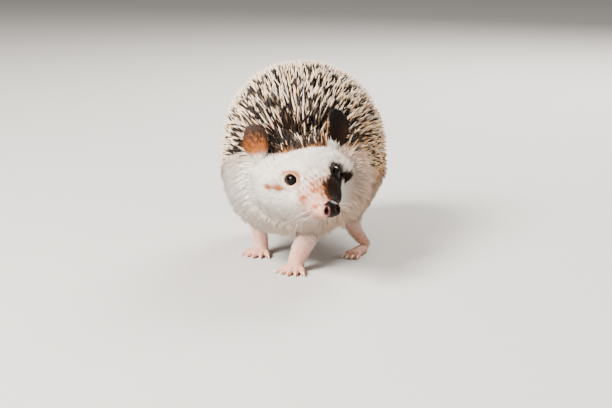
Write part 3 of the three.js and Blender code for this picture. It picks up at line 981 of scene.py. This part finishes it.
CLAW_RINGS, CLAW_SIDES, CLAW_R, CLAW_TIP_R = 10, 12, 0.49, 0.09
for name, leg in LEGS.items():
    verts, faces, caps = [], [], []
    t = np.linspace(0, 1, CLAW_RINGS)[:, None]
    for k, (_, nail) in enumerate(foot_bones(leg)):
        path = (1 - t) ** 2 * nail[0] + 2 * t * (1 - t) * nail[1] + t**2 * nail[2]
        v = tube(path, CLAW_R * (1 - t[:, 0] ** 1.6) ** 0.5 + CLAW_TIP_R, CLAW_SIDES)
        v = v @ leg["turn"].T + leg["wrist"] * (1, 1, 0)
        v[:, 2] = np.maximum(v[:, 2], FLOOR_CLEAR)
        verts.append(v)
        for kept, made in zip((faces, caps), ring_faces(CLAW_RINGS, CLAW_SIDES)):
            kept.append(made + k * len(v))
    along = np.tile(np.repeat(t[:, 0], CLAW_SIDES), leg["toes"])
    claws = add_mesh(f"claws_{name}", np.concatenate(verts), [np.concatenate(faces), np.concatenate(caps)],
                     CLAW, dict(along=along))
    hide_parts(*[f"claw_{name}_{k + 1}" for k in range(leg["toes"])])

# ---- where the coat is rooted
tri = np.concatenate([quads[:, [0, 1, 2]], quads[:, [0, 2, 3]]])
corner = points[tri]
face_area = np.linalg.norm(np.cross(corner[:, 1] - corner[:, 0], corner[:, 2] - corner[:, 0]), axis=1) / 2
face_at = corner.mean(1)
face_parts = skin_parts[:, tri].mean(2)


def quilled_share(p, parts):
    """1 where quills grow, 0 where fur does, with the border's edge in between."""
    x, y, z = to_head(p).T
    on_head = head_share(parts, 1.5, -1.5)
    edge = 1.0 * ripple(p, 6, 31) + 0.8 * ripple(p, 2.6, 33)
    body = smooth(above_hem(p) + edge, -1.2, 1.2)
    line = y + 3.2 - 0.03 * x**2 + edge
    crown = smooth(line, -1.0, 1.0) * smooth(z, 6, 9) * (1 - smooth(np.abs(x), 14, 17))
    return body * (1 - on_head) + crown * on_head


TRUNK_TUFTS, TUFTS = 4.6, {"leg": 5.5, "foot": 5.0, "ear": 9.0, "tail": 5.0}
SOLE_TUFTS, SOLE_TOP, NO_FUR_BELOW = 0.35, 3.0, 0.6


def fur_density(p, parts, quilled):
    """Tufts of fur on each square millimetre."""
    h = to_head(p)
    name = part_names(parts)
    dense = np.where(name == "head", 7.5 + 5.5 * smooth(-h[:, 1], 8, 26), TRUNK_TUFTS)
    for kind, value in TUFTS.items():
        dense[is_kind(name, kind)] = value
    dense *= 1 - quilled
    dense[(p[:, 2] < SOLE_TOP) & is_kind(name, "foot")] *= SOLE_TUFTS
    dense[p[:, 2] < NO_FUR_BELOW] = 0
    dense *= 1 - smooth(nose_wetness(h), 0.02, 0.4)
    for side in SIDES:
        _, out, _, _, wide = eye_polar(h, side)
        dense *= 1 - (1 - smooth(wide, 3.3, 3.8)) * (out > -2)
    return dense * (1 - strip(h, LEFT_LIP, 0.5, 0.2))


def scatter(density, local):
    """Random places on the skin, so many to each square millimetre."""
    expected = density * face_area
    total = int(expected.sum())
    face = tri[local.choice(len(tri), total, p=expected / expected.sum())]
    a, b = local.random(total), local.random(total)
    flip = a + b > 1
    a[flip], b[flip] = 1 - a[flip], 1 - b[flip]
    weights = np.stack([1 - a - b, a, b], 1)[..., None]
    place, normal, parts = ((data[face] * weights).sum(1) for data in (points, normals, skin_parts.T))
    return place, unit(normal), parts.T


def thin_out(p, spacing, local):
    """Keeps points that are at least their spacing apart."""
    keep, cells = [], {}
    size = spacing.max()
    around = [(x, y, z) for x in (-1, 0, 1) for y in (-1, 0, 1) for z in (-1, 0, 1)]
    for i in local.permutation(len(p)):
        q, least = p[i], spacing[i] ** 2
        c = tuple((q // size).astype(int))
        others = (o for x, y, z in around for o in cells.get((c[0] + x, c[1] + y, c[2] + z), ()))
        if all((q[0] - o[0]) ** 2 + (q[1] - o[1]) ** 2 + (q[2] - o[2]) ** 2 > least for o in others):
            cells.setdefault(c, []).append(q)
            keep.append(i)
    return np.array(keep)


# ---- the lie of the coat
CROWN_FROM = from_head([(0, -16, -2)])[0]
NOSE_FROM = np.array([0, -46, -7.0])


def nearest_step(p, path):
    """The place on a limb's path that is nearest to each point, as its number."""
    return np.linalg.norm(p[:, None] - path[None], axis=2).argmin(1)


def lie(p, parts, quills):
    """The way in which the coat lies at each place, as a unit vector."""
    h = to_head(p)
    weight = np.exp(-(parts - parts.min(0)) / 1.6)
    weight /= weight.sum(0)
    radial = unit(p - CROWN_FROM)
    rear = smooth(p[:, 1], -42, 25)[:, None]
    if quills:
        body = radial * (1 - rear) + (0, 1.0, 0) * rear
        sideways = np.sign(p[:, :1]) * (0.35, 0, 0) + (0, 0, -0.25)
        body = body + sideways * smooth(60 - p[:, 2], -10, 25)[:, None]
    else:
        body = radial * (1 - rear) + (0, 1.0, -0.5) * rear + (0, 0.1, -0.55) * (1 - rear)
    flow = {"trunk": body, "neck": body, "head": (unit(h - NOSE_FROM) + (0, 0.1, 0)) @ HEAD_TURN.T}
    for name, side in EARS.items():
        spread = to_ear(h, side)[:, :1] * (0.10, 0, 0) + (0, 0, 1.0)
        flow[name] = spread @ ear_frame(side).T @ HEAD_TURN.T
    flow["tail"] = np.broadcast_to(unit(np.array(TAIL[1], float) - TAIL[0]), p.shape)
    for name, leg in LEGS.items():
        flow[f"leg_{name}"] = unit(np.gradient(leg["path"], axis=0))[nearest_step(p, leg["path"])]
        flow[f"foot_{name}"] = np.broadcast_to(np.array([0, -1.0, 0.15]) @ leg["turn"].T, p.shape)
    return unit(sum(row[:, None] * flow[name] for row, name in zip(weight, PARTS)))


def flatten(direction, normal):
    return unit(direction - (direction * normal).sum(1, keepdims=True) * normal)


def raised(flow, normal, lift):
    return flow * np.cos(lift)[:, None] + normal * np.sin(lift)[:, None]


# ---- an unwrap of the skin, in its own form
PATCH = 0.003
EDGE = 0.02
BODY_MAP = (0.56, 0.96)  # the unrolled body's size on the map
HEAD_MAP, HEAD_MAP_R = 0.79, 0.185  # the middle and radius of the head's disc
STRIP_FROM, STRIP_LONG, STRIP_HIGH, STRIP_STEP = 0.60, 0.38, 0.046, 0.052


def turn_about(x, z):
    """An angle about a long axis, from 0 to 1."""
    return np.arctan2(x, z) / (2 * math.pi) + 0.5


def strip_place(part, p, h):
    """How far round a limb, ear or tail a place lies, and how far along it, each from 0 to 1."""
    if part in EARS:
        q = to_ear(h, EARS[part])
        back = np.where(ear_behind(q) < 0, 0, 0.5)
        return 0.25 + q[:, 0] / 28 + back, (q[:, 2] + 14) / 28
    if part == "tail":
        return turn_about(p[:, 0], p[:, 2] - 32), (p[:, 1] - 40) / 35
    kind, _, name = part.partition("_")
    if kind == "foot":
        q = to_foot(p, LEGS[name])
        return turn_about(q[:, 0], q[:, 2] - 2), (q[:, 1] + 32) / 44
    path = LEGS[name]["path"]
    off = p - path[nearest_step(p, path)]
    return turn_about(off[:, 0], off[:, 1]), p[:, 2] / 55


def unwrap(p, parts):
    """Where a root lies on an unwrap of the skin: the body is unrolled about its long axis, the
    head is opened out flat from the nose, and each limb and ear is unrolled in a strip."""
    name = part_names(parts)
    h = to_head(p)
    uv = np.empty((len(p), 2))
    uv[:, 0] = EDGE + BODY_MAP[0] * turn_about(p[:, 0] - 1, p[:, 2] - 48)
    uv[:, 1] = EDGE + BODY_MAP[1] * (p[:, 1] + 75) / 146
    at = name == "head"
    x, y, z = h.T
    spin = np.arctan2(x, z + 5)
    far = HEAD_MAP_R * np.clip((y + 42) / 62, 0, 1) ** 0.75
    uv[at] = (HEAD_MAP + np.stack([far * np.sin(spin), far * np.cos(spin)], 1))[at]
    for i, part in enumerate(PARTS[HEAD_ROW + 1 :]):
        at = name == part
        if at.any():
            around, down = (np.clip(q, 0, 1) for q in strip_place(part, p[at], h[at]))
            uv[at, 0] = STRIP_FROM + STRIP_LONG * down
            uv[at, 1] = EDGE + i * STRIP_STEP + STRIP_HIGH * around
    return np.clip(uv, PATCH, 0.993)


# ---- spikes: the form of every quill, tuft and whisker
def spikes(name, material, root, start, end, length, width, levels, sides, bulge, uv, tone_at):
    """Thin bent spikes as one mesh. Each starts along start and ends along end; levels are the
    places of its rings, bulge their widths, and tone_at gives the colour at each level."""
    count = len(root)
    levels = [*levels, 1.0]
    t = np.array(levels)[None, :, None]
    path = root[:, None] + length[:, None, None] * (start[:, None] * t + 0.5 * (end - start)[:, None] * t**2)
    path[:, 0] -= 0.35 * start * np.minimum(width, 1)[:, None]
    axis = unit(path[:, -1] - path[:, 0])
    a = unit(np.cross(axis, unit(rng.normal(size=(count, 3)))))
    b = np.cross(axis, a)
    c, s = (q[None, :, None] for q in circle(sides))
    ring = c * a[:, None] + s * b[:, None]
    radius = 0.5 * width[:, None] * np.array(bulge)[None]
    rings = path[:, :-1, None] + ring[:, None] * radius[..., None, None]
    verts = np.concatenate([rings.reshape(count, -1, 3), path[:, -1:]], 1)
    grid = np.arange((len(levels) - 1) * sides).reshape(-1, sides)
    nxt = np.roll(grid, -1, 1)
    quad = np.stack([grid[:-1], nxt[:-1], nxt[1:], grid[1:]], -1).reshape(-1, 4)
    point = np.stack([grid[-1], nxt[-1], np.full(sides, grid.size)], -1)
    offset = (np.arange(count) * (grid.size + 1))[:, None, None]
    faces = [(quad[None] + offset).reshape(-1, 4), (point[None] + offset).reshape(-1, 3)]
    flat_u = np.append(np.tile(np.abs(1 - 2 * np.arange(sides) / sides), len(levels) - 1), 0.5)
    flat_v = np.append(np.repeat(levels[:-1], sides), 1.0)
    local_uv = (np.stack([flat_u, flat_v], 1) - 0.5) * PATCH
    vertex_uv = (uv[:, None] + local_uv[None]).reshape(-1, 2)
    loops = np.concatenate([f.ravel() for f in faces])
    tones = [np.repeat(tone_at(x)[:, None], sides if x < 1 else 1, 1) for x in levels]
    values = dict(tone=np.concatenate(tones, 1).reshape(-1, 3))
    obj = add_mesh(name, verts.reshape(-1, 3), faces, material, values, vertex_uv[loops])


def tips(root, start, end, length):
    return root + length[:, None] * 0.5 * (start + end)


def trim(root, start, end, length, clearance=0.12, least=0.25):
    """Shortens what would stand out of the animal's outline."""
    inner = outer(root)
    for _ in range(3):
        over = outer(tips(root, start, end, length))
        share = np.where(over > -clearance, (-clearance - inner) / np.maximum(over - inner, 1e-3), 1)
        length = length * np.clip(share, least, 1)
    return length


# ---- quills
local = np.random.default_rng(5)
QUILL_SPACING, QUILL_WIDTH = 1.6, 0.94
QUILL_LIFT, BROW_LIFT = 35, 10  # degrees
QUILL_SHORTEST, QUILL_LONGEST = 7, 21
BARE_ROUND_EAR, NO_QUILLS_BELOW = 1.6, 24
QUILL_LEVELS = [0.0, 0.22, 0.34, 0.66, 0.76, 0.9]
QUILL_BULGE = [0.55, 0.9, 1.0, 1.0, 0.9, 0.5]


def brow_edge(p, parts):
    """1 where the first fine rows of quills rise behind the brow."""
    return smooth(to_head(p)[:, 1], 11, 3) * smooth(parts[HEAD_ROW], 8, 1)


def jitter(size, limit):
    return local.normal(size=size).clip(-limit, limit)


def grow_quills(quilled):
    ear_gap = np.min([face_parts[PARTS.index(name)] for name in EARS], 0)
    grow = (quilled > 0.5) * (ear_gap > BARE_ROUND_EAR) * (face_at[:, 2] > NO_QUILLS_BELOW)
    root, normal, parts = scatter(grow * (2.0 + 3.5 * brow_edge(face_at, face_parts)), local)
    keep = thin_out(root, QUILL_SPACING * (1 - 0.4 * brow_edge(root, parts)), local)
    root, normal, parts = root[keep], normal[keep], parts[:, keep]
    count = len(root)
    # how each one stands
    direction = flatten(lie(root, parts, True), normal)
    lift = np.radians(QUILL_LIFT + 9 * ripple(root, 16, 41) + local.normal(0, 8, count))
    lift += np.radians(BROW_LIFT) * smooth(root[:, 1], -48, -66)
    direction = flatten(unit(direction + 0.27 * local.normal(size=direction.shape)), normal)
    aim = unit(raised(direction, normal, lift))
    length = np.clip(np.maximum(-outer(root), 1.0) / np.sin(lift), QUILL_SHORTEST, QUILL_LONGEST)
    length *= local.uniform(0.92, 1.08, count)
    bent = unit(aim + 0.10 * direction + 0.04 * local.normal(size=aim.shape))
    length = trim(root, aim, bent, length)
    # how each one is banded: a pale base, a dark band and a pale tip, but for a few
    edge_row = brow_edge(root, parts)
    in_front = smooth(root[:, 1], -42, -60)
    front_row = smooth(to_head(root)[:, 1], 26, 9) * smooth(parts[HEAD_ROW], 14, 3)
    vary = local.random(count)
    pale = local.random(count) < 0.12 + 0.06 * in_front
    blond = local.random(count) < 0.02 + 0.30 * smooth(root[:, 0], 15, 40)
    band_low = 0.27 - 0.13 * in_front + 0.14 * edge_row + 0.07 * jitter(count, 1)
    band_high = 0.79 + 0.02 * in_front + 0.13 * front_row + 0.07 * jitter(count, 1)
    band_high = np.where(local.random(count) < 0.5 * front_row, 1.2, band_high)

    def tone_at(t):
        base = mix(mix(CREAM, TAN, 0.35 + 0.4 * vary), AMBER, 0.85 * edge_row)
        tip = mix(mix(WHITE, STRAW, 0.3 + 0.7 * vary), AMBER, 0.35 * edge_row * vary)
        band = mix(BROWN, BLACK, 0.5 + 0.5 * vary)
        band = np.where(blond[:, None], mix(band, TAN, 0.8), band)
        inside = smooth(t, band_low - 0.07, band_low + 0.05)
        inside = inside * (1 - smooth(t, band_high - 0.05, band_high + 0.04))
        color = mix(base, tip, smooth(t, 0.4, 0.6))
        # painted shade: quills on the left flank darkened and warmed as if in shade
        color = mix(color, color * SHADED_FLANK_TINT, smooth(root[:, 0], 16, 36))
        return mix(color, band, inside * np.where(pale, 0.12, 1.0))

    width = (QUILL_WIDTH + 0.13 * jitter(count, 1.5)) * (1 - 0.35 * edge_row)
    spikes("quills", QUILL, root, aim, bent, length, width, QUILL_LEVELS, 5, QUILL_BULGE,
           unwrap(root, parts), tone_at)


# ---- fur
# the hair's length against the distance behind the middle of the head, on the cheeks and the brow
CHEEK_HAIR = [(-37, 0.8), (-31, 1.4), (-24, 2.4), (-16, 3.6), (-8, 5.2), (2, 7.5), (10, 9.0)]
BROW_HAIR = [(-34, 1.0), (-26, 2.4), (-18, 4.6), (-10, 4.6), (-5, 2.6), (2, 2.2)]
BODY_HAIR, FOOT_HAIR, THIGH_HAIR, EAR_HAIR, TAIL_HAIR = 11.5, 1.3, 5.5, 1.2, 1.5
BESIDE_EAR, EAR_TUFT = (17.0, 3.0, 11), 5.5
CLUMP_EVERY, PER_PIECE = 26, 21000
FUR_LEVELS, FUR_BULGE = [0.0, 0.5], [1.0, 0.72]


def eye_gap(h, side):
    """How far a place is from an eye's axis, and further behind the eye."""
    _, out, back, up, _ = eye_polar(h, side)
    return np.hypot(back, up) + 4 * smooth(-out, -1, 4)


def hair_length(root, h, on_head, limb, ear, tail):
    cheek, brow = (np.interp(h[:, 1], *np.transpose(row)) for row in (CHEEK_HAIR, BROW_HAIR))
    face = cheek + (brow - cheek) * smooth(h[:, 2], -1, 6)
    gap = np.min([eye_gap(h, side) for side in SIDES], 0)
    face = np.minimum(face, 0.9 + 1.5 * np.maximum(gap - 3.5, 0))
    body = BODY_HAIR + 1.5 * ripple(root, 9, 61)
    length = body + (face - body) * on_head
    length = np.where(limb, FOOT_HAIR + THIGH_HAIR * smooth(root[:, 2], 14, 30), length)
    length = np.where(tail, TAIL_HAIR, length)
    for side in SIDES:
        rim = smooth(ear_reach(to_ear(h, side)), 0.55, 0.95)
        length = np.where(ear & (h[:, 0] * side > 0), EAR_HAIR + EAR_HAIR * rim, length)
    return length


def make_locks(root, aim, end, length, together):
    """Leans the tips of neighbouring tufts together."""
    chiefs = np.arange(0, len(root), CLUMP_EVERY)
    tree = kdtree.KDTree(len(chiefs))
    for i, c in enumerate(chiefs):
        tree.insert(root[c], i)
    tree.balance()
    chief = chiefs[np.array([tree.find(q)[1] for q in root])]
    tip = tips(root, aim, end, length)
    lean = np.clip((tip[chief] - tip) / length[:, None], -0.5, 0.5)
    return unit(end + 2 * lean * together[:, None])


def off_the_eyes(root, aim, end, length):
    """Shortens the tufts that would lie across an eye."""
    for _ in range(4):
        tip = to_head(tips(root, aim, end, length))
        for side in SIDES:
            _, out, _, _, wide = eye_polar(tip, side)
            length = np.where((wide < 3.1) & (out > -1), 0.6 * length, length)
    return length


def grow_fur(quilled):
    root, normal, parts = scatter(fur_density(face_at, face_parts, quilled), local)
    count = len(root)
    name = part_names(parts)
    limb, ear, tail = is_kind(name, "leg", "foot"), is_kind(name, "ear"), is_kind(name, "tail")
    h = to_head(root)
    on_head = head_share(parts, 2, -2)
    muzzle = smooth(-h[:, 1], 10, 27) * on_head
    # how each tuft lies
    wave = np.stack([ripple(root, 5.5, 50 + i) for i in range(3)], 1)
    flow = lie(root, parts, False) + (0.22 - 0.12 * muzzle)[:, None] * wave
    flow = flatten(unit(flow + 0.10 * local.normal(size=flow.shape)), normal)
    away = [((h - mirror(BESIDE_EAR, side)) ** 2).sum(1) for side in SIDES]
    beside_ear = np.exp(-np.min(away, 0) / 22) * on_head
    length = hair_length(root, h, on_head, limb, ear, tail) + EAR_TUFT * beside_ear * ~ear
    length *= local.uniform(0.75, 1.15, count)
    room = np.maximum(-outer(root), 0.05)
    lift = np.arcsin(np.clip(1.2 * room / length, 0.14, 0.84)) + np.radians(local.normal(0, 4, count))
    lift = np.where(ear, np.radians(24), lift + np.radians(22) * beside_ear)
    aim = unit(raised(flow, normal, lift))
    droop = (0, 0, -0.15) * (1 - on_head)[:, None]
    end = unit(raised(flow, normal, lift * 0.55) + droop)
    end = make_locks(root, aim, end, length, (0.5 - 0.25 * on_head - 0.1 * muzzle) * ~ear)
    # how far each may stand out, and its final size
    wisp = np.where(limb | ear, 0.0, (0.4 + 1.6 * (1 - on_head)) * local.random(count) ** 3)
    proud = np.where(ear, 1.1, np.where(limb, 0.45, wisp))
    length = trim(root, aim, end, length, 0.06 - proud, 0.25 + 0.35 * muzzle)
    length = off_the_eyes(root, aim, end, length)
    width = np.clip(0.05 * length + 0.03, 0.09, 0.5) * local.uniform(0.75, 1.25, count)
    width = np.where(ear | limb, np.clip(width, 0.1, 0.3), width)
    color = markings(root, parts)[0]
    shade = local.uniform(0.84, 1.06, count)[:, None]
    uv = unwrap(root, parts)

    def tones(pick):
        """The colours of some of the tufts, with painted shade at the roots of long ones."""
        long_fur = smooth(length[pick], 1.5, 7)

        def tone_at(t):
            # painted shade: the roots of long tufts are darkened as if shadowed by the hair over them
            dark = mix(color[pick], color[pick] * ROOT_SHADE_TINT, 0.42 * long_fur * (1 - t) ** 1.5)
            return np.clip(dark * shade[pick], 0, 1)

        return tone_at

    head = on_head > 0.5
    groups = {"face": head & (muzzle > 0.25), "head": head & (muzzle <= 0.25) & ~ear,
              "limbs": limb & (root[:, 2] < 30), "ears": ear}
    rest = ~np.any(list(groups.values()), axis=0)
    groups["front"] = rest & (root[:, 1] < -30)
    groups["rear"] = rest & (root[:, 1] >= -30)
    for group, inside in groups.items():
        members = np.nonzero(inside)[0]
        for k in range(math.ceil(len(members) / PER_PIECE)):
            pick = members[k * PER_PIECE : (k + 1) * PER_PIECE]
            spikes(f"fur_{group}_{k + 1}", FUR, root[pick], aim[pick], end[pick], length[pick],
                   width[pick], FUR_LEVELS, 3, FUR_BULGE, uv[pick], tones(pick))


# ---- whiskers
WHISKER_ROWS = [(-32, -7.2), (-30, -8.6), (-28.5, -6.6), (-26, -8.0), (-31, -9.6)]
WHISKER_WIDTH, WHISKER_RINGS = 0.11, 10


def grow_whiskers():
    root, aim, end, length = [], [], [], []
    for side in SIDES:
        for row, (along, down) in enumerate(WHISKER_ROWS):
            out = np.array([side * 0.9, 0.05 + 0.05 * row, -0.25 - 0.1 * (down < -8)])
            out = unit(out + 0.12 * local.normal(size=3))
            root.append((side * (4.2 + 0.22 * (along + 33)), along, down))
            aim.append(out)
            end.append(unit(out + np.array([0.1 * side, 0.55, -0.35])))
            length.append(local.uniform(10, 17))
    root, _ = settle(skin, from_head(root), 10)
    aim, end = (np.array(way) @ HEAD_TURN.T for way in (aim, end))
    spikes("whiskers", FUR, root, aim, end, np.array(length), np.full(len(root), WHISKER_WIDTH),
           np.linspace(0, 0.9, WHISKER_RINGS), 5, np.linspace(1, 0.35, WHISKER_RINGS),
           unwrap(root, part_distances(root, False)), lambda t: np.broadcast_to(WHITE, root.shape))


face_quilled = quilled_share(face_at, face_parts)
grow_quills(face_quilled)
grow_fur(face_quilled)
grow_whiskers()

# ---- floor, camera and light
FLOOR_HALF = 3
floor_mesh = bpy.data.meshes.new("floor")
floor_mesh.from_pydata([(x * FLOOR_HALF, y * FLOOR_HALF, 0) for x, y in ((-1, -1), (1, -1), (1, 1), (-1, 1))],
                       [], [(0, 1, 2, 3)])
floor = link(bpy.data.objects.new("floor", floor_mesh))
ground = Nodes("ground")
ground.set(Base_Color=(0.50, 0.485, 0.465, 1), Roughness=0.9)
ground.bump(ground.noise(400, 3), 0.1, 0.0002)
floor_mesh.materials.append(ground.material)


def place_round(obj, middle, azimuth, elevation, distance):
    """Puts a camera or lamp at some distance from a place, looking at it, by angles in degrees."""
    a, e = math.radians(azimuth), math.radians(elevation)
    back = np.array([math.sin(a) * math.cos(e), -math.cos(a) * math.cos(e), math.sin(e)])
    obj.location = middle + back * distance
    obj.rotation_euler = (math.pi / 2 - e, 0, a)
    return link(obj)


LOOK_AT = np.array([9.02, -36.18, 29.7]) * MM + SHIFT
camera = bpy.data.objects.new("camera", bpy.data.cameras.new("camera"))
camera.data.lens, camera.data.sensor_width = 80, 36
camera.data.clip_start, camera.data.clip_end = 0.01, 20
bpy.context.scene.camera = place_round(camera, LOOK_AT, 12, 12, 0.68)

# name, watts, size, azimuth, elevation, distance and colour
LAMPS = [
    ("key", 76, 0.5, -38, 42, 1.3, (1.0, 0.95, 0.89)),
    ("fill", 6, 1.2, 70, 25, 1.4, (1.0, 0.93, 0.86)),
    ("low", 9, 0.8, -22, 14, 1.3, (1.0, 0.9, 0.8)),
    ("rim", 30, 0.5, 165, 40, 1.2, (1.0, 0.96, 0.9)),
]
for name, power, size, azimuth, elevation, distance, color in LAMPS:
    lamp = bpy.data.lights.new(name, "AREA")
    lamp.energy, lamp.size, lamp.color = power, size, color
    place_round(bpy.data.objects.new(name, lamp), np.zeros(3), azimuth, elevation, distance)
world = bpy.data.worlds.new("studio")
world.use_nodes = True
sky = world.node_tree.nodes["Background"]
sky.inputs["Color"].default_value = (1.0, 0.98, 0.95, 1)
sky.inputs["Strength"].default_value = 0.3
bpy.context.scene.world = world
